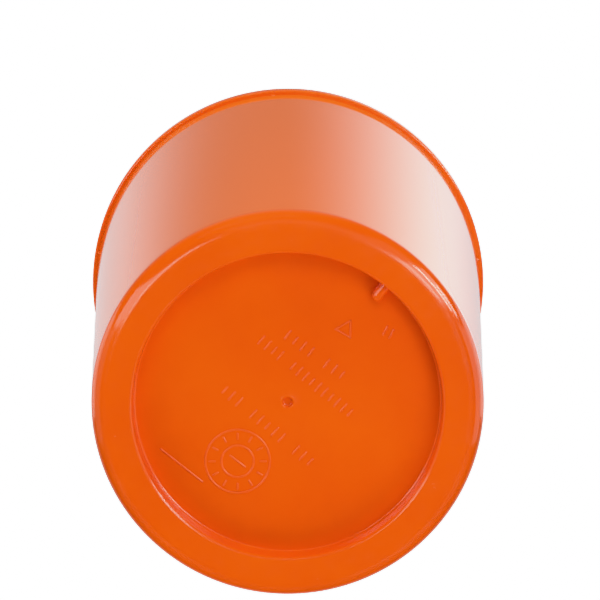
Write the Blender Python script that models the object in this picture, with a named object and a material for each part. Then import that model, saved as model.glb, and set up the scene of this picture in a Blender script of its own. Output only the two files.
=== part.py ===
"""Double-walled beaker of moulded orange plastic, made of three welded mouldings.

The beaker stands on its foot ring at z = 0, with +Z up through the open mouth and its axis on Z.
    outer_shell   tapered satin wall, round foot edge, standing ring, and the ledge the base plate sits on
    inner_liner   the vessel itself, with the rim collar whose groove takes the shell's top edge
    base_plate    disc welded into the recess under the shell, with its gate nub and locating lug
Weld faces are modelled as tongue-and-groove and ledge joints with a small clearance.
All lengths are in metres.
"""

import math

import bmesh
import bpy

# Driving dimensions
HEIGHT = 0.1312
FOOT_RADIUS = 0.03737          # outer wall carried down to the standing plane
DRAFT = math.radians(2.21)     # outward lean of the outer wall
WALL = 0.0018
JOINT_GAP = 0.0003             # clearance between welded pieces
SEGMENTS = 64                  # facets round the axis, a multiple of four

# Foot ring and recess under the shell
FOOT_FILLET = 0.00326
RECESS_EDGE_RADIUS = 0.0007    # rounding of the ring's inner edge
RECESS_MOUTH_RADIUS = 0.0296
RECESS_SEAT_RADIUS = 0.0293    # the recess narrows slightly towards the plate
RECESS_DEPTH = 0.0042
LEDGE_WIDTH = 0.0019

# Rim collar and weld groove
COLLAR_RADIUS = 0.04325
COLLAR_HEIGHT = 0.0039
COLLAR_EDGE_RADIUS = 0.0009
TONGUE_OUTER_RADIUS = 0.04145
TONGUE_LENGTH = 0.0024

# Inner liner
LINER_DRAFT = math.radians(3.5)
LINER_BASE_Z = 0.0120
LINER_FLOOR = 0.0020
LINER_CORNER_RADIUS = 0.0050   # inside corner between the floor and the wall

# Base plate details
NUB_RADIUS = 0.0008
NUB_HEIGHT = 0.0006
LUG_WIDTH = 0.0021
LUG_LENGTH = 0.0030
LUG_HEIGHT = 0.0024
LUG_ANGLE = math.radians(-51)

ORANGE = (0.83, 0.115, 0.006, 1.0)


def clear_scene():
    """Remove whatever objects the file holds."""
    for item in list(bpy.data.objects):
        bpy.data.objects.remove(item, do_unlink=True)


def plastic(name, roughness):
    """A plain orange plastic of the given roughness."""
    material = bpy.data.materials.new(name)
    material.use_nodes = True
    shader = material.node_tree.nodes["Principled BSDF"]
    shader.inputs["Base Color"].default_value = ORANGE
    shader.inputs["Roughness"].default_value = roughness
    shader.inputs["Metallic"].default_value = 0.0
    return material


def arc(centre, radius, start, end, steps):
    """Points of an arc in the profile plane, from the start angle to the end angle in degrees."""
    points = []
    for step in range(steps + 1):
        angle = math.radians(start + (end - start) * step / steps)
        points.append((centre[0] + radius * math.cos(angle), centre[1] + radius * math.sin(angle)))
    return points


def outer_wall_radius(z):
    """Radius of the shell's outer wall at height z."""
    return FOOT_RADIUS + z * math.tan(DRAFT)


def inner_wall_radius(z):
    """Radius of the shell's inner wall at height z."""
    return outer_wall_radius(z) - WALL / math.cos(DRAFT)


def turned(name, profile, closed, material):
    """Spin a profile of (radius, z) points round Z into one solid, closed on itself or on the axis."""
    mesh = bpy.data.meshes.new(name)
    shape = bmesh.new()
    points = [shape.verts.new((radius, 0.0, z)) for radius, z in profile]
    edges = [shape.edges.new(pair) for pair in zip(points, points[1:])]
    if closed:
        edges.append(shape.edges.new((points[-1], points[0])))
    bmesh.ops.spin(shape, geom=points + edges, cent=(0, 0, 0), axis=(0, 0, 1), angle=2 * math.pi,
                   steps=SEGMENTS, use_merge=True, use_duplicate=False)
    bmesh.ops.remove_doubles(shape, verts=shape.verts, dist=1e-7)
    bmesh.ops.recalc_face_normals(shape, faces=shape.faces)
    shape.to_mesh(mesh)
    shape.free()
    mesh.shade_smooth()
    mesh.set_sharp_from_angle(angle=math.radians(35))
    piece = bpy.data.objects.new(name, mesh)
    piece.data.materials.append(material)
    bpy.context.scene.collection.objects.link(piece)
    return piece


def outer_shell(material):
    """Tapered wall, rounded foot edge, standing ring, recess wall and plate ledge in one moulding."""
    draft = math.degrees(DRAFT)
    fillet_radius = FOOT_RADIUS - FOOT_FILLET * (1 - math.sin(DRAFT)) / math.cos(DRAFT)
    fillet_centre = (fillet_radius, FOOT_FILLET)
    edge_centre = (RECESS_MOUTH_RADIUS + RECESS_EDGE_RADIUS, RECESS_EDGE_RADIUS)
    shoulder_z = HEIGHT - COLLAR_HEIGHT - JOINT_GAP
    tongue_top = shoulder_z + TONGUE_LENGTH
    ledge_z = RECESS_DEPTH + WALL + JOINT_GAP
    ledge_top = ledge_z + WALL
    profile = arc(fillet_centre, FOOT_FILLET, -90, -draft, 6)
    profile += [
        (outer_wall_radius(HEIGHT / 2), HEIGHT / 2),
        (outer_wall_radius(shoulder_z), shoulder_z),
        (TONGUE_OUTER_RADIUS, shoulder_z),
        (TONGUE_OUTER_RADIUS, tongue_top),
        (inner_wall_radius(tongue_top), tongue_top),
        (inner_wall_radius(HEIGHT / 2), HEIGHT / 2),
    ]
    profile += arc(fillet_centre, FOOT_FILLET - WALL, -draft, -90, 3)
    profile += [
        (RECESS_MOUTH_RADIUS + WALL, WALL),
        (RECESS_MOUTH_RADIUS + WALL, ledge_top),
        (RECESS_SEAT_RADIUS - LEDGE_WIDTH, ledge_top),
        (RECESS_SEAT_RADIUS - LEDGE_WIDTH, ledge_z),
        (RECESS_SEAT_RADIUS, ledge_z),
        (RECESS_SEAT_RADIUS, RECESS_DEPTH),
    ]
    profile += arc(edge_centre, RECESS_EDGE_RADIUS, 180, 270, 3)
    return turned("outer_shell", profile, True, material)


def inner_liner(material):
    """Open vessel whose rim collar is folded over the shell's top edge and grooved for its tongue."""
    collar_z = HEIGHT - COLLAR_HEIGHT
    tongue_top = collar_z - JOINT_GAP + TONGUE_LENGTH
    groove_top = tongue_top + JOINT_GAP
    groove_outer = TONGUE_OUTER_RADIUS + JOINT_GAP
    liner_outer = inner_wall_radius(collar_z) - JOINT_GAP
    liner_inner = liner_outer - WALL
    slope = math.tan(LINER_DRAFT)
    lean = math.degrees(LINER_DRAFT)

    floor_z = LINER_BASE_Z + LINER_FLOOR
    corner_z = floor_z + LINER_CORNER_RADIUS
    corner_wall = liner_inner - (collar_z - corner_z) * slope
    corner_r = corner_wall - LINER_CORNER_RADIUS / math.cos(LINER_DRAFT)
    outer_corner = LINER_CORNER_RADIUS + WALL
    outer_centre = (corner_r, LINER_BASE_Z + outer_corner)

    profile = [(0.0, LINER_BASE_Z)]
    profile += arc(outer_centre, outer_corner, -90, -lean, 5)
    profile += [
        (liner_outer, collar_z - WALL),
        (liner_outer, groove_top),
        (groove_outer, groove_top),
        (groove_outer, collar_z),
        (COLLAR_RADIUS, collar_z),
    ]
    profile += arc((COLLAR_RADIUS - COLLAR_EDGE_RADIUS, HEIGHT - COLLAR_EDGE_RADIUS),
                   COLLAR_EDGE_RADIUS, 0, 90, 3)
    profile += arc((liner_inner + COLLAR_EDGE_RADIUS, HEIGHT - COLLAR_EDGE_RADIUS),
                   COLLAR_EDGE_RADIUS, 90, 180, 3)
    profile += [(liner_inner, collar_z)]
    profile += arc((corner_r, corner_z), LINER_CORNER_RADIUS, -lean, -90, 5)
    profile += [(0.0, floor_z)]
    return turned("inner_liner", profile, False, material)


def locating_lug():
    """Round-ended rib used to add the lug to the plate's lower face."""
    mesh = bpy.data.meshes.new("locating_lug")
    shape = bmesh.new()
    half = LUG_WIDTH / 2
    outer_end = RECESS_SEAT_RADIUS - JOINT_GAP - half
    outline = [(outer_end, -half), (outer_end, half)]
    outline += arc((outer_end - LUG_LENGTH + half, 0.0), half, 90, 270, 6)
    low = RECESS_DEPTH - LUG_HEIGHT
    face = shape.faces.new([shape.verts.new((x, y, low)) for x, y in outline])
    grown = bmesh.ops.extrude_face_region(shape, geom=[face])
    top = [item for item in grown["geom"] if isinstance(item, bmesh.types.BMVert)]
    bmesh.ops.translate(shape, verts=top, vec=(0, 0, LUG_HEIGHT + WALL / 2))
    bmesh.ops.recalc_face_normals(shape, faces=shape.faces)
    shape.to_mesh(mesh)
    shape.free()
    tool = bpy.data.objects.new("locating_lug", mesh)
    tool.rotation_euler = (0.0, 0.0, LUG_ANGLE)
    tool.hide_render = True
    tool.display_type = "WIRE"
    bpy.context.scene.collection.objects.link(tool)
    return tool


def base_plate(material):
    """Disc that closes the recess, with the gate nub at its centre and the lug at its edge."""
    top = RECESS_DEPTH + WALL
    edge = RECESS_SEAT_RADIUS - JOINT_GAP
    profile = [
        (0.0, RECESS_DEPTH - NUB_HEIGHT),
        (NUB_RADIUS * 0.6, RECESS_DEPTH - NUB_HEIGHT),
        (NUB_RADIUS, RECESS_DEPTH),
        (edge, RECESS_DEPTH),
        (edge, top),
        (0.0, top),
    ]
    plate = turned("base_plate", profile, False, material)
    union = plate.modifiers.new("add_lug", "BOOLEAN")
    union.operation = "UNION"
    union.solver = "EXACT"
    union.object = locating_lug()
    return plate


clear_scene()
outer_shell(plastic("shell_plastic", 0.45))
inner_liner(plastic("liner_plastic", 0.25))
base_plate(plastic("plate_plastic", 0.30))
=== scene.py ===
"""Looks of the double-walled beaker.

Fine turned skins over the CAD solids, relief marks, orange plastics, and a studio seen from below.
"""

import math

import bmesh
import bpy
import numpy as np
from mathutils import Matrix, Vector


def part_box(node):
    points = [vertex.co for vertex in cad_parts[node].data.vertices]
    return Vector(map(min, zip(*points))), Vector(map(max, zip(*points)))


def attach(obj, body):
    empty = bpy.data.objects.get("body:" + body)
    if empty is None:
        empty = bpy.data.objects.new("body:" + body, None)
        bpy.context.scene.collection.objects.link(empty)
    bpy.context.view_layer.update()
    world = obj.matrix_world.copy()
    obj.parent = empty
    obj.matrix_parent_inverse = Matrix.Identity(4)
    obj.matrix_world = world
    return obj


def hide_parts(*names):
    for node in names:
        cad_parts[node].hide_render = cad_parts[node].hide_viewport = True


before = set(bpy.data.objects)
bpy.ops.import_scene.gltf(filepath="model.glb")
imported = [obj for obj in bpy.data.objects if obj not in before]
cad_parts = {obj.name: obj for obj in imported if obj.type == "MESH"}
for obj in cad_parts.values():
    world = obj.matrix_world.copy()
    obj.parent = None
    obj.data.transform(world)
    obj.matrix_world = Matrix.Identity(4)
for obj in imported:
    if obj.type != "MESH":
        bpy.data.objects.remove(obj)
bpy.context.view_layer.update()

MM = 0.001
SIDES = 288                      # facets round the axis of the turned skins
SINK = 0.05 * MM                 # how far a raised piece runs into the face it stands on

# Sizes read from the frame
SHELL_LOW, SHELL_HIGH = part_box("outer_shell")
LINER_LOW, LINER_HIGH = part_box("inner_liner")
PLATE_LOW, PLATE_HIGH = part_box("base_plate")
HEIGHT = LINER_HIGH.z
COLLAR_RADIUS = LINER_HIGH.x
TONGUE_TOP = SHELL_HIGH.z
PLATE_RADIUS = PLATE_HIGH.x

# Sizes that the CAD source also uses
DRAFT = math.radians(2.21)
FOOT_RADIUS = 37.37 * MM
WALL = 1.8 * MM
FOOT_FILLET = 3.26 * MM
RECESS_EDGE = 0.7 * MM
RECESS_MOUTH = 29.6 * MM
RECESS_SEAT = 29.3 * MM
COLLAR_HEIGHT = 3.9 * MM
COLLAR_LOW = HEIGHT - COLLAR_HEIGHT
TONGUE_RADIUS = 41.45 * MM
JOINT_GAP = 0.3 * MM
LEDGE_WIDTH = 1.9 * MM
LINER_DRAFT = math.radians(3.5)
LINER_CORNER = 5.0 * MM
LINER_FLOOR = 2.0 * MM
PLATE_FACE = PLATE_HIGH.z - WALL  # height of the plate's lower face

SEAM = 0.06 * MM                 # visible line between welded pieces
RELIEF = 0.15 * MM               # how far the marks stand off the plate
STROKE = 0.42 * MM               # width of most of their bars

PAPER_WHITE = 1.6                # light level that is shown as full white

# Soft surround overhead: a level towards the front and the back, and a bright patch to the right
SKY_COLOUR = (1.0, 0.97, 1.0, 1.0)
SKY_FRONT, SKY_BACK = 0.18, 0.73
SKY_TURN = (-0.22, 0.09)         # y of the directions between which front changes to back
SKY_RISE = (0.3, 0.8)            # z of the directions between which the surround fades in
SKY_PATCH = (0.45, -0.11)        # x and y of the patch's direction
SKY_PATCH_REACH = 0.49
SKY_PATCH_LEVEL = 1.63


# ---------------------------------------------------------------- profiles

def arc(centre, radius, start, end, steps):
    """Points of an arc in the profile plane, from the start angle to the end angle in degrees."""
    angles = np.radians(np.linspace(start, end, steps + 1))
    return [(centre[0] + radius * math.cos(a), centre[1] + radius * math.sin(a)) for a in angles]


def line(start, end, steps):
    """Points strictly between two profile points."""
    return [(start[0] + (end[0] - start[0]) * i / steps, start[1] + (end[1] - start[1]) * i / steps)
            for i in range(1, steps)]


def outer_wall(z):
    """Radius of the shell's outer wall at height z."""
    return FOOT_RADIUS + z * math.tan(DRAFT)


def inner_wall(z):
    """Radius of the shell's inner wall at height z."""
    return outer_wall(z) - WALL / math.cos(DRAFT)


def turned(name, profile, closed):
    """Mesh object made by turning a profile of (radius, z) points round Z."""
    points = np.array(profile)
    count = len(points)
    on_axis = points[:, 0] < 1e-9
    angles = np.linspace(0, 2 * math.pi, SIDES, endpoint=False)
    verts, rings = [], []
    for (radius, z), pole in zip(points, on_axis):
        if pole:
            rings.append([len(verts)] * SIDES)
            verts.append((0.0, 0.0, z))
            continue
        rings.append(list(range(len(verts), len(verts) + SIDES)))
        verts.extend((radius * math.cos(a), radius * math.sin(a), z) for a in angles)
    faces = []
    for i in range(count if closed else count - 1):
        low, high = rings[i], rings[(i + 1) % count]
        for k in range(SIDES):
            n = (k + 1) % SIDES
            corners = [low[k], low[n], high[n], high[k]]
            faces.append(list(dict.fromkeys(corners)))
    mesh = bpy.data.meshes.new(name)
    mesh.from_pydata(verts, [], faces)
    shape = bmesh.new()
    shape.from_mesh(mesh)
    bmesh.ops.recalc_face_normals(shape, faces=shape.faces)
    shape.to_mesh(mesh)
    shape.free()
    mesh.shade_smooth()
    mesh.set_sharp_from_angle(angle=math.radians(38))
    piece = bpy.data.objects.new(name, mesh)
    bpy.context.scene.collection.objects.link(piece)
    return piece


def take_place(piece, node, material):
    """Give a piece a material and hang it on the root body; with a CAD node, the piece stands for it and the
    node is hidden.
    """
    piece.data.materials.append(material)
    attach(piece, "root")
    if node:
        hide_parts(node)


# ---------------------------------------------------------------- shell

def build_shell(material):
    """Tapered wall, foot fillet, standing ring, recess wall, ledge and tongue."""
    lean = math.degrees(DRAFT)
    fillet = (FOOT_RADIUS - FOOT_FILLET * (1 - math.sin(DRAFT)) / math.cos(DRAFT), FOOT_FILLET)
    edge = (RECESS_MOUTH + RECESS_EDGE, RECESS_EDGE)
    shoulder = COLLAR_LOW - SEAM
    ledge_z = PLATE_HIGH.z + SEAM
    ledge_top = PLATE_HIGH.z + JOINT_GAP + WALL
    wall_start = arc(fillet, FOOT_FILLET, -90, -lean, 20)
    profile = list(wall_start)
    profile += line(wall_start[-1], (outer_wall(shoulder), shoulder), 40)
    profile += [
        (outer_wall(shoulder), shoulder),
        (TONGUE_RADIUS, shoulder),
        (TONGUE_RADIUS, TONGUE_TOP),
        (inner_wall(TONGUE_TOP), TONGUE_TOP),
    ]
    profile += arc(fillet, FOOT_FILLET - WALL, -lean, -90, 6)
    profile += [
        (RECESS_MOUTH + WALL, WALL),
        (RECESS_MOUTH + WALL, ledge_top),
        (RECESS_SEAT - LEDGE_WIDTH, ledge_top),
        (RECESS_SEAT - LEDGE_WIDTH, ledge_z),
        (RECESS_SEAT, ledge_z),
        (RECESS_SEAT, PLATE_FACE),
    ]
    profile += arc(edge, RECESS_EDGE, 185, 270, 12)
    profile += line((edge[0], 0.0), (fillet[0], 0.0), 6)
    piece = turned("shell_skin", profile, True)
    take_place(piece, "outer_shell", material)


# ---------------------------------------------------------------- liner

def build_liner(material):
    """The vessel with its rounded collar, grooved underneath for the shell's tongue."""
    groove_top = TONGUE_TOP + JOINT_GAP
    groove_outer = TONGUE_RADIUS + JOINT_GAP
    outer = inner_wall(COLLAR_LOW) - JOINT_GAP
    inner = outer - WALL
    slope = math.tan(LINER_DRAFT)
    lean = math.degrees(LINER_DRAFT)
    floor_z = LINER_LOW.z + LINER_FLOOR
    corner_z = floor_z + LINER_CORNER
    corner_r = inner - (COLLAR_LOW - corner_z) * slope - LINER_CORNER / math.cos(LINER_DRAFT)
    outer_corner = LINER_CORNER + WALL
    under = 0.45 * MM            # rounding of the collar's lower edge
    brow = 0.9 * MM              # rounding of its upper outer edge
    lip = 0.8 * MM               # rounding of the mouth's inner edge
    profile = [(0.0, LINER_LOW.z)]
    profile += arc((corner_r, LINER_LOW.z + outer_corner), outer_corner, -90, -lean, 12)
    profile += [
        (outer, COLLAR_LOW - WALL),
        (outer, groove_top),
        (groove_outer, groove_top),
        (groove_outer, COLLAR_LOW),
    ]
    profile += arc((COLLAR_RADIUS - under, COLLAR_LOW + under), under, -90, 0, 8)
    profile += arc((COLLAR_RADIUS - brow, HEIGHT - brow), brow, 0, 90, 14)
    profile += arc((inner + lip, HEIGHT - lip), lip, 90, 180, 10)
    profile += [(inner, COLLAR_LOW)]
    profile += line((inner, COLLAR_LOW), (corner_r + LINER_CORNER, corner_z), 30)
    profile += arc((corner_r, corner_z), LINER_CORNER, -lean, -90, 16)
    profile += line((corner_r, floor_z), (0.0, floor_z), 8)
    profile += [(0.0, floor_z)]
    piece = turned("liner_skin", profile, False)
    take_place(piece, "inner_liner", material)


# ---------------------------------------------------------------- base plate and its marks

def build_plate(material):
    """Disc whose edge turns down against the recess wall, with the sunk gate mark at the centre."""
    lip = 0.4 * MM               # rounding of the corner between panel and recess wall
    edge = RECESS_SEAT + 0.07 * MM
    root = edge + 0.3 * MM       # the disc's rim, inside the shell
    pit, pit_depth = 1.0 * MM, 0.6 * MM
    halo, halo_height = 1.5 * MM, 0.05 * MM
    pit_shape = ((0, 1), (0.62, 1), (0.76, 0.95), (0.86, 0.82), (0.92, 0.60), (0.96, 0.30), (0.985, 0.10))
    profile = [(pit * reach, PLATE_FACE + pit_depth * depth) for reach, depth in pit_shape]
    profile += [(pit + (halo - pit) * t, PLATE_FACE - halo_height * math.sin(math.pi * t))
                for t in np.linspace(0.05, 1, 9)]
    profile += line((halo, PLATE_FACE), (edge - lip, PLATE_FACE), 20)
    profile += arc((edge - lip, PLATE_FACE - lip), lip, 90, 0, 8)
    profile += [(root, PLATE_FACE - lip), (root, PLATE_HIGH.z), (0.0, PLATE_HIGH.z)]
    piece = turned("base_plate_skin", profile, False)
    take_place(piece, "base_plate", material)


def raised_bar(shape, start, end, width):
    """Add a bar with a rounded section and round ends to a bmesh, standing off the plate's lower face."""
    start, end = Vector(start), Vector(end)
    along = end - start
    angle = math.atan2(along.y, along.x)
    half = width / 2
    dome = [(half * math.cos(a), -RELIEF * math.sin(a)) for a in np.radians((0, 22, 44, 64, 80))]
    section = [(half, SINK)] + dome
    loops = []
    for radius, z in section:
        ring = []
        for centre, first in ((start, 90), (end, -90)):
            for step in range(7):
                a = angle + math.radians(first + step * 30)
                ring.append(shape.verts.new((centre.x + radius * math.cos(a), centre.y + radius * math.sin(a),
                                             PLATE_FACE + z)))
        loops.append(ring)
    count = len(loops[0])
    for low, high in zip(loops, loops[1:]):
        for k in range(count):
            n = (k + 1) % count
            shape.faces.new((low[k], low[n], high[n], high[k]))
    shape.faces.new(loops[-1])
    shape.faces.new(list(reversed(loops[0])))


def tick_row(shape, start, end, groups):
    """A gauge-like row of short bars across a line, in groups with a space between them."""
    start, end = Vector(start), Vector(end)
    along = (end - start).normalized()
    across = Vector((-along.y, along.x))
    long_reach, short_reach = 0.95 * MM, 0.7 * MM
    slots = sum(groups) + len(groups) - 1
    pitch = (end - start).length / max(slots - 1, 1)
    place = 0
    for size in groups:
        for _ in range(size):
            centre = start + along * (pitch * place)
            reach = long_reach if place % 3 else short_reach
            raised_bar(shape, centre - across * reach, centre + across * reach, STROKE)
            place += 1
        place += 1


def ring_bar(shape, centre, radius, width, steps=72):
    """A raised circle made as one closed band."""
    centre = Vector(centre)
    half = width / 2
    dome = [(-half * math.cos(a), -RELIEF * math.sin(a)) for a in np.radians(np.linspace(0, 180, 9))]
    section = [(-half, SINK)] + dome + [(half, SINK)]
    rings = []
    for step in range(steps):
        a = 2 * math.pi * step / steps
        rings.append([shape.verts.new((centre.x + (radius + r) * math.cos(a),
                                       centre.y + (radius + r) * math.sin(a), PLATE_FACE + z))
                      for r, z in section])
    for step in range(steps):
        low, high = rings[step], rings[(step + 1) % steps]
        for k in range(len(section)):
            n = (k + 1) % len(section)
            shape.faces.new((low[k], low[n], high[n], high[k]))


def build_marks(material):
    """Generic moulder's marks: rows of gauge ticks, a dial, a plain line, a triangle and two short bars."""
    shape = bmesh.new()
    for start, end, groups in (
        ((11.9, 2.1), (-5.0, -12.1), (10, 4)),
        ((10.4, -5.3), (0.0, -13.1), (3, 4)),
        ((4.3, 11.7), (-12.0, -2.4), (3, 5, 3)),
    ):
        tick_row(shape, [c * MM for c in start], [c * MM for c in end], groups)
    dial = Vector((-9.6 * MM, 11.6 * MM))
    ring_bar(shape, dial, 6.2 * MM, STROKE)
    ring_bar(shape, dial, 3.1 * MM, STROKE)
    for hour in range(12):
        a = math.radians(30 * hour)
        ray = Vector((math.cos(a), math.sin(a)))
        raised_bar(shape, dial + ray * 4.4 * MM, dial + ray * 5.4 * MM, STROKE)
    raised_bar(shape, dial - Vector((1.4, 1.1)) * MM, dial + Vector((1.4, 1.1)) * MM, STROKE)
    raised_bar(shape, (-24.3 * MM, 9.2 * MM), (-16.4 * MM, 15.6 * MM), 0.40 * MM)
    corners = [Vector((11.0, -14.2)) * MM + 1.9 * MM * Vector((math.cos(a), math.sin(a)))
               for a in (math.radians(60 + 120 * i) for i in range(3))]
    for i in range(3):
        raised_bar(shape, corners[i], corners[(i + 1) % 3], 0.38 * MM)
    for shift in (-0.6, 0.6):
        middle = Vector((19.2 + shift, -13.6 + shift * 0.5)) * MM
        raised_bar(shape, middle - Vector((-0.4, 0.8)) * MM, middle + Vector((-0.4, 0.8)) * MM, STROKE)
    bmesh.ops.recalc_face_normals(shape, faces=shape.faces)
    mesh = bpy.data.meshes.new("relief_marks")
    shape.to_mesh(mesh)
    shape.free()
    mesh.shade_smooth()
    mesh.set_sharp_from_angle(angle=math.radians(50))
    piece = bpy.data.objects.new("relief_marks", mesh)
    bpy.context.scene.collection.objects.link(piece)
    take_place(piece, None, material)


def build_lug(material):
    """Half-round locating rib that runs in from the recess wall and ends in a dome."""
    radius = 1.05 * MM
    length = 3.0 * MM
    azimuth = -51                # degrees from +X
    inner_end = PLATE_RADIUS - length + radius
    outer_end = RECESS_SEAT + 0.4 * MM
    shape = bmesh.new()
    steps, rows = 10, []
    for row in range(steps + 1):
        tilt = math.pi / 2 * row / steps
        spread = radius * math.cos(tilt) if row else radius
        z = PLATE_FACE + 0.1 * MM if row == 0 else PLATE_LOW.z + radius * 0.9 * (1 - math.sin(tilt))
        ring = [(outer_end, -spread), (outer_end, spread)]
        ring += [(inner_end + spread * math.cos(a), spread * math.sin(a))
                 for a in np.radians(np.linspace(90, 270, 13))]
        rows.append([shape.verts.new((x, y, z)) for x, y in ring])
    count = len(rows[0])
    for low, high in zip(rows, rows[1:]):
        for k in range(count):
            n = (k + 1) % count
            shape.faces.new((low[k], low[n], high[n], high[k]))
    shape.faces.new(rows[0])
    bmesh.ops.remove_doubles(shape, verts=shape.verts, dist=1e-7)
    bmesh.ops.holes_fill(shape, edges=[e for e in shape.edges if e.is_boundary])
    bmesh.ops.recalc_face_normals(shape, faces=shape.faces)
    mesh = bpy.data.meshes.new("locating_lug")
    shape.to_mesh(mesh)
    shape.free()
    mesh.shade_smooth()
    mesh.set_sharp_from_angle(angle=math.radians(50))
    mesh.transform(Matrix.Rotation(math.radians(azimuth), 4, "Z"))
    piece = bpy.data.objects.new("locating_lug", mesh)
    bpy.context.scene.collection.objects.link(piece)
    take_place(piece, None, material)


def build_nicks(material):
    """Four small moulding nicks in the corner between the collar and the wall."""
    shape = bmesh.new()
    corner = outer_wall(COLLAR_LOW)
    size = 0.30 * MM
    for azimuth in (-94.5, -170.5, -7.5, 90.0):
        a = math.radians(azimuth)
        dome = bmesh.ops.create_icosphere(shape, subdivisions=2, radius=size)["verts"]
        bmesh.ops.scale(shape, vec=(1.0, 1.5, 0.9), verts=dome)
        bmesh.ops.rotate(shape, cent=(0, 0, 0), matrix=Matrix.Rotation(a, 3, "Z"), verts=dome)
        place = (corner * math.cos(a), corner * math.sin(a), COLLAR_LOW - SINK)
        bmesh.ops.translate(shape, vec=place, verts=dome)
    mesh = bpy.data.meshes.new("collar_nicks")
    shape.to_mesh(mesh)
    shape.free()
    mesh.shade_smooth()
    piece = bpy.data.objects.new("collar_nicks", mesh)
    bpy.context.scene.collection.objects.link(piece)
    take_place(piece, None, material)


# ---------------------------------------------------------------- materials

class Nodes:
    """Small helper that adds and links the shader nodes of one material."""

    def __init__(self, name):
        self.material = bpy.data.materials.new(name)
        self.material.use_nodes = True
        self.tree = self.material.node_tree
        self.shader = self.tree.nodes["Principled BSDF"]
        self.place = self.add("ShaderNodeTexCoord").outputs["Object"]

    def add(self, kind, **settings):
        node = self.tree.nodes.new(kind)
        for key, value in settings.items():
            setattr(node, key, value)
        return node

    def link(self, source, target):
        self.tree.links.new(source, target)

    def noise(self, scale, detail=3.0, rough=0.5, vector=None):
        node = self.add("ShaderNodeTexNoise")
        node.inputs["Scale"].default_value = scale
        node.inputs["Detail"].default_value = detail
        node.inputs["Roughness"].default_value = rough
        self.link(vector or self.place, node.inputs["Vector"])
        return node.outputs["Fac"]

    def remap(self, value, low, high, new_low, new_high, smooth=False):
        node = self.add("ShaderNodeMapRange", interpolation_type="SMOOTHSTEP" if smooth else "LINEAR")
        for key, number in (("From Min", low), ("From Max", high), ("To Min", new_low), ("To Max", new_high)):
            node.inputs[key].default_value = number
        self.link(value, node.inputs["Value"])
        return node.outputs["Result"]

    def maths(self, operation, first, second):
        node = self.add("ShaderNodeMath", operation=operation)
        for socket, value in zip(node.inputs, (first, second)):
            if isinstance(value, (int, float)):
                socket.default_value = value
            else:
                self.link(value, socket)
        return node.outputs[0]

    def mix(self, factor, first, second):
        node = self.add("ShaderNodeMix", data_type="RGBA")
        sockets = (node.inputs["Factor"], node.inputs[6], node.inputs[7])
        for socket, value in zip(sockets, (factor, first, second)):
            if isinstance(value, (float, tuple)):
                socket.default_value = value
            else:
                self.link(value, socket)
        return node.outputs[2]

    def height(self):
        """Height above the foot."""
        node = self.add("ShaderNodeSeparateXYZ")
        self.link(self.place, node.inputs[0])
        return node.outputs["Z"]

    def radius(self):
        """Distance from the beaker's axis."""
        flat = self.add("ShaderNodeVectorMath", operation="MULTIPLY")
        flat.inputs[1].default_value = (1.0, 1.0, 0.0)
        self.link(self.place, flat.inputs[0])
        node = self.add("ShaderNodeVectorMath", operation="LENGTH")
        self.link(flat.outputs[0], node.inputs[0])
        return node.outputs["Value"]

    def bump(self, value, strength, distance):
        """Drive the shader's normal from a height field."""
        node = self.add("ShaderNodeBump")
        node.inputs["Distance"].default_value = distance
        if isinstance(strength, float):
            node.inputs["Strength"].default_value = strength
        else:
            self.link(strength, node.inputs["Strength"])
        self.link(value, node.inputs["Height"])
        self.link(node.outputs["Normal"], self.shader.inputs["Normal"])


ORANGE = (0.86, 0.116, 0.0030, 1.0)
DEEP_ORANGE = (0.80, 0.096, 0.0025, 1.0)
# Paler, yellower orange of the shell's wall: painted glow, standing in for light that shines through the
# plastic
WALL_PAINTED_GLOW_ORANGE = (0.94, 0.180, 0.012, 1.0)
# Lighter orange towards which the liner mottles: painted glow, standing in for light shining through the thin
# collar
RIM_PAINTED_GLOW_ORANGE = (0.92, 0.170, 0.0100, 1.0)

WALL_FADE = 3.5 * MM             # height over which the shell's foot changes to its wall
RECESS_RIM = (30.0 * MM, 31.0 * MM)  # radii between which the recess changes to the standing ring
RECESS_EXTRA_ROUGH = 0.04
RING_SCUFFS = 0.4 * MM           # height to which standing has scuffed the ring
GRAIN = 900.0                    # noise scales, from fine to coarse
SCUFF = 420.0
WIPE = 130.0
MOTTLE = 38.0


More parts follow.
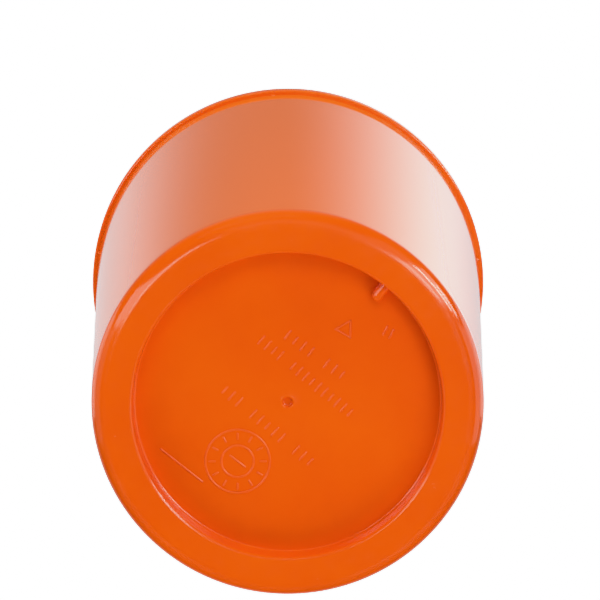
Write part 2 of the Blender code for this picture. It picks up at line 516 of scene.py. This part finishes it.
def plastic(name, gloss_rough, wall_rough=None, wall_from=None, tint=DEEP_ORANGE):
    """Orange moulded plastic with flow mottling, wipe marks and grain; with a lighter tint the mottle is also
    painted glow.

    With a height wall_from, the outside above it is a smoother wall with a paler colour, which is painted glow
    of light through the plastic, and the standing ring is scuffed.
    """
    n = Nodes(name)
    # Mottle from ORANGE to the tint: flow mottling, and with the liner's lighter tint also painted glow
    mottle = n.remap(n.noise(MOTTLE, 4.0, 0.55), 0.35, 0.70, 0.0, 1.0)
    colour = n.mix(mottle, ORANGE, tint)
    wipe = n.remap(n.noise(WIPE, 5.0, 0.6), 0.3, 0.75, -0.015, 0.03)
    if wall_from is None:
        n.link(colour, n.shader.inputs["Base Color"])
        n.link(n.maths("ADD", wipe, gloss_rough), n.shader.inputs["Roughness"])
        n.bump(n.noise(GRAIN, 2.0), 0.02, 0.02 * MM)
    else:
        outside = n.remap(n.radius(), *RECESS_RIM, 0.0, 1.0, True)
        above = n.remap(n.height(), wall_from, wall_from + WALL_FADE, 0.0, 1.0, True)
        wall = n.maths("MULTIPLY", outside, above)
        recess = n.remap(outside, 0.0, 1.0, RECESS_EXTRA_ROUGH, 0.0)
        # The wall's paler colour is painted glow of light through the plastic
        n.link(n.mix(wall, colour, WALL_PAINTED_GLOW_ORANGE), n.shader.inputs["Base Color"])
        rough = n.remap(wall, 0.0, 1.0, gloss_rough, wall_rough)
        ring = n.maths("MULTIPLY", outside, n.remap(n.height(), 0.0, RING_SCUFFS, 1.0, 0.0, True))
        scuff = n.maths("MULTIPLY", ring, n.remap(n.noise(SCUFF, 6.0, 0.7), 0.45, 0.68, 0.02, 0.16))
        rough = n.maths("ADD", n.maths("ADD", wipe, rough), n.maths("ADD", recess, scuff))
        n.link(rough, n.shader.inputs["Roughness"])
        n.bump(n.noise(GRAIN, 2.0), n.maths("MULTIPLY", ring, 0.05), 0.03 * MM)
    n.shader.inputs["IOR"].default_value = 1.49
    n.shader.inputs["Specular IOR Level"].default_value = 0.5
    return n.material


# ---------------------------------------------------------------- studio

def floor_material():
    """Pale matt floor that shows only from above, so that a camera under it still sees the beaker."""
    glow = 0.12                  # evens out the floor's shading
    material = bpy.data.materials.new("studio_floor")
    material.use_nodes = True
    tree = material.node_tree
    shader = tree.nodes["Principled BSDF"]
    shader.inputs["Base Color"].default_value = (0.82, 0.82, 0.82, 1.0)
    shader.inputs["Roughness"].default_value = 0.75
    shader.inputs["Emission Color"].default_value = (1.0, 1.0, 1.0, 1.0)
    shader.inputs["Emission Strength"].default_value = glow
    side = tree.nodes.new("ShaderNodeNewGeometry")
    clear = tree.nodes.new("ShaderNodeBsdfTransparent")
    pick = tree.nodes.new("ShaderNodeMixShader")
    tree.links.new(side.outputs["Backfacing"], pick.inputs[0])
    tree.links.new(shader.outputs[0], pick.inputs[1])
    tree.links.new(clear.outputs[0], pick.inputs[2])
    tree.links.new(pick.outputs[0], tree.nodes["Material Output"].inputs["Surface"])
    return material


def build_floor():
    """Large floor at the height the beaker stands on."""
    reach = 1.6
    below = 0.2 * MM             # keeps the floor clear of the standing ring
    mesh = bpy.data.meshes.new("studio_floor")
    mesh.from_pydata([(-reach, -reach, 0), (reach, -reach, 0), (reach, reach, 0), (-reach, reach, 0)], [],
                     [(0, 1, 2, 3)])
    floor = bpy.data.objects.new("studio_floor", mesh)
    floor.data.materials.append(floor_material())
    floor.location = (0, 0, -below)
    floor.visible_diffuse = False
    floor.visible_glossy = False
    floor.visible_shadow = False
    floor.visible_transmission = False
    bpy.context.scene.collection.objects.link(floor)


def area_light(name, place, target, size, power):
    """Soft rectangular light at a place, facing a target."""
    data = bpy.data.lights.new(name, "AREA")
    data.shape = "RECTANGLE"
    data.size, data.size_y = size
    data.energy = power
    lamp = bpy.data.objects.new(name, data)
    lamp.location = place
    lamp.rotation_euler = (Vector(target) - Vector(place)).to_track_quat("-Z", "Y").to_euler()
    bpy.context.scene.collection.objects.link(lamp)
    lamp.visible_camera = False
    return lamp


def build_world():
    """White for the camera; for light and reflections a surround, brighter at the back and to the right."""
    world = bpy.data.worlds.new("studio")
    bpy.context.scene.world = world
    world.use_nodes = True
    tree = world.node_tree
    tree.nodes.clear()
    direction = tree.nodes.new("ShaderNodeTexCoord").outputs["Generated"]
    split = tree.nodes.new("ShaderNodeSeparateXYZ")
    tree.links.new(direction, split.inputs[0])

    def fade(value, low, high, new_low, new_high):
        node = tree.nodes.new("ShaderNodeMapRange")
        node.interpolation_type = "SMOOTHSTEP"
        for key, number in (("From Min", low), ("From Max", high), ("To Min", new_low), ("To Max", new_high)):
            node.inputs[key].default_value = number
        tree.links.new(value, node.inputs["Value"])
        return node.outputs["Result"]

    total = tree.nodes.new("ShaderNodeMath")
    total.operation = "MULTIPLY"
    tree.links.new(fade(split.outputs["Y"], *SKY_TURN, SKY_FRONT, SKY_BACK), total.inputs[0])
    tree.links.new(fade(split.outputs["Z"], *SKY_RISE, 0.0, 1.0), total.inputs[1])
    x, y = SKY_PATCH
    gap = tree.nodes.new("ShaderNodeVectorMath")
    gap.operation = "DISTANCE"
    gap.inputs[1].default_value = (x, y, math.sqrt(1 - x * x - y * y))
    tree.links.new(direction, gap.inputs[0])
    level = tree.nodes.new("ShaderNodeMath")
    tree.links.new(total.outputs[0], level.inputs[0])
    tree.links.new(fade(gap.outputs["Value"], 0.0, SKY_PATCH_REACH, SKY_PATCH_LEVEL, 0.0), level.inputs[1])

    path = tree.nodes.new("ShaderNodeLightPath")
    seen = tree.nodes.new("ShaderNodeBackground")
    seen.inputs["Color"].default_value = (1.0, 1.0, 1.0, 1.0)
    seen.inputs["Strength"].default_value = PAPER_WHITE
    lit = tree.nodes.new("ShaderNodeBackground")
    lit.inputs["Color"].default_value = SKY_COLOUR
    tree.links.new(level.outputs[0], lit.inputs["Strength"])
    pick = tree.nodes.new("ShaderNodeMixShader")
    out = tree.nodes.new("ShaderNodeOutputWorld")
    tree.links.new(path.outputs["Is Camera Ray"], pick.inputs[0])
    tree.links.new(lit.outputs[0], pick.inputs[1])
    tree.links.new(seen.outputs[0], pick.inputs[2])
    tree.links.new(pick.outputs[0], out.inputs["Surface"])
    world.cycles.sampling_method = "NONE"


def build_camera():
    """Long-lens camera under the beaker, looking up at its base and along its front wall."""
    tilt = math.radians(10.78)       # between the line of sight and the beaker's axis
    lean = math.radians(0.13)        # the same, sideways
    distance = 760.4 * MM            # along the line of sight, to the centre of the foot
    right, up = -2.35 * MM, -20.31 * MM
    forward = Vector((math.sin(lean), math.sin(tilt), math.cos(tilt))).normalized()
    top = Vector((0.0, -math.cos(tilt), math.sin(tilt)))
    side = forward.cross(top).normalized()
    top = side.cross(forward)
    data = bpy.data.cameras.new("camera")
    data.lens = 240
    data.sensor_width = 36
    data.clip_start = 0.01
    data.clip_end = 50
    camera = bpy.data.objects.new("camera", data)
    turn = Matrix((side, top, -forward)).transposed().to_4x4()
    camera.matrix_world = Matrix.Translation(-(side * right + top * up + forward * distance)) @ turn
    bpy.context.scene.collection.objects.link(camera)
    bpy.context.scene.camera = camera


# Name, azimuth from -Y towards +X and angle from straight down (degrees), size (m), power (W) and the kind of
# ray that does not see the lamp. Sizes and powers are those of a lamp at LAMP_DISTANCE.
LAMPS = (
    ("strip_right", 60, 66, (0.30, 0.15), 1.7, "visible_diffuse"),
    ("strip_right_tall", 59, 64, (0.26, 1.10), 2.9, "visible_diffuse"),
    ("strip_right_low", 60, 33, (0.18, 0.36), 1.0, "visible_diffuse"),
    ("strip_right_high", 66, 84, (0.20, 0.20), 1.1, "visible_diffuse"),
    ("window_right", 52, 55, (0.60, 0.90), 0.5, None),
    ("window_right_fill", 52, 55, (0.60, 0.90), 2.0, "visible_glossy"),
    ("strip_left", -68, 55, (0.24, 0.80), 2.0, "visible_diffuse"),
    ("strip_left_low", -62, 27, (0.34, 0.14), 0.9, "visible_diffuse"),
    ("side_right", 95, 80, (0.60, 0.70), 1.6, "visible_diffuse"),
    ("side_left", -95, 80, (0.60, 0.70), 0.5, None),
    ("side_left_fill", -95, 80, (0.60, 0.70), 2.4, "visible_glossy"),
    ("side_right_high", 90, 115, (0.50, 0.50), 1.5, "visible_diffuse"),
    ("side_left_high", -90, 115, (0.50, 0.50), 1.2, "visible_diffuse"),
    ("fill_front_high", 0, 115, (0.60, 0.50), 1.3, "visible_glossy"),
    ("fill_front", -14, 85, (0.60, 0.50), 5.0, "visible_glossy"),
    ("fill_front_low", 0, 45, (0.60, 0.40), 2.5, "visible_glossy"),
    ("fill_low", 80, 25, (0.50, 0.50), 1.9, "visible_glossy"),
    ("fill_back", 180, 75, (0.60, 0.40), 1.1, "visible_glossy"),
    ("fill_back_left", -140, 60, (0.60, 0.50), 2.8, "visible_glossy"),
    ("fill_back_right", 140, 60, (0.60, 0.50), 3.5, "visible_glossy"),
    ("fill_top", 0, 172, (0.60, 0.60), 3.0, "visible_glossy"),
)
LAMP_DISTANCE = 0.9
NEAR_RING, FAR_RING = 0.85, 2.4  # distances as shares of LAMP_DISTANCE
FAR_FROM = 70                    # degrees from straight down; lamps above it stand beyond the floor's edge
LAMP_STEP = 0.025                # each lamp stands this much further out than the one before


def build_lights():
    """Strips for the foot's highlights, soft sides, and fills; some light only the plastic's body or gloss."""
    target = Vector((0.0, 0.0, 0.03))
    for index, (name, azimuth, polar, size, power, hidden) in enumerate(LAMPS):
        round_axis, from_below = math.radians(azimuth), math.radians(polar)
        away = Vector((math.sin(from_below) * math.sin(round_axis),
                       -math.sin(from_below) * math.cos(round_axis),
                       -math.cos(from_below)))
        # No two lamps lie in one place, and each looks as large and bright as at LAMP_DISTANCE
        scale = (FAR_RING if polar > FAR_FROM else NEAR_RING) + LAMP_STEP * index
        place = target + LAMP_DISTANCE * scale * away
        lamp = area_light(name, place, target, [edge * scale for edge in size], power * scale ** 2)
        if hidden:
            setattr(lamp, hidden, False)


def set_film_response():
    """Standard view with a soft shoulder, so that bright highlights keep their hue as a camera's do."""
    view = bpy.context.scene.view_settings
    view.view_transform = "Standard"
    view.use_curve_mapping = True
    mapping = view.curve_mapping
    mapping.white_level = (PAPER_WHITE,) * 3
    curve = mapping.curves[3]
    curve.points[1].location = (1.0, 1.0)
    shoulder = ((0.80, 0.80), (0.90, 0.855), (1.05, 0.885), (1.30, 0.905))
    for light, shown in shoulder:
        curve.points.new(light / PAPER_WHITE, shown)
    for point in curve.points:
        point.handle_type = "VECTOR"
    mapping.update()


def main():
    set_film_response()
    build_camera()
    build_shell(plastic("shell_plastic", 0.11, wall_rough=0.06, wall_from=1.5 * MM))
    # The liner's lighter tint is painted glow of light through the thin collar
    liner = plastic("liner_plastic", 0.13, tint=RIM_PAINTED_GLOW_ORANGE)
    build_liner(liner)
    build_nicks(liner)
    plate = plastic("plate_plastic", 0.15)
    build_plate(plate)
    build_marks(plastic("mark_plastic", 0.30))
    build_lug(plate)
    build_world()
    build_lights()
    build_floor()


main()
bpy.context.view_layer.update()
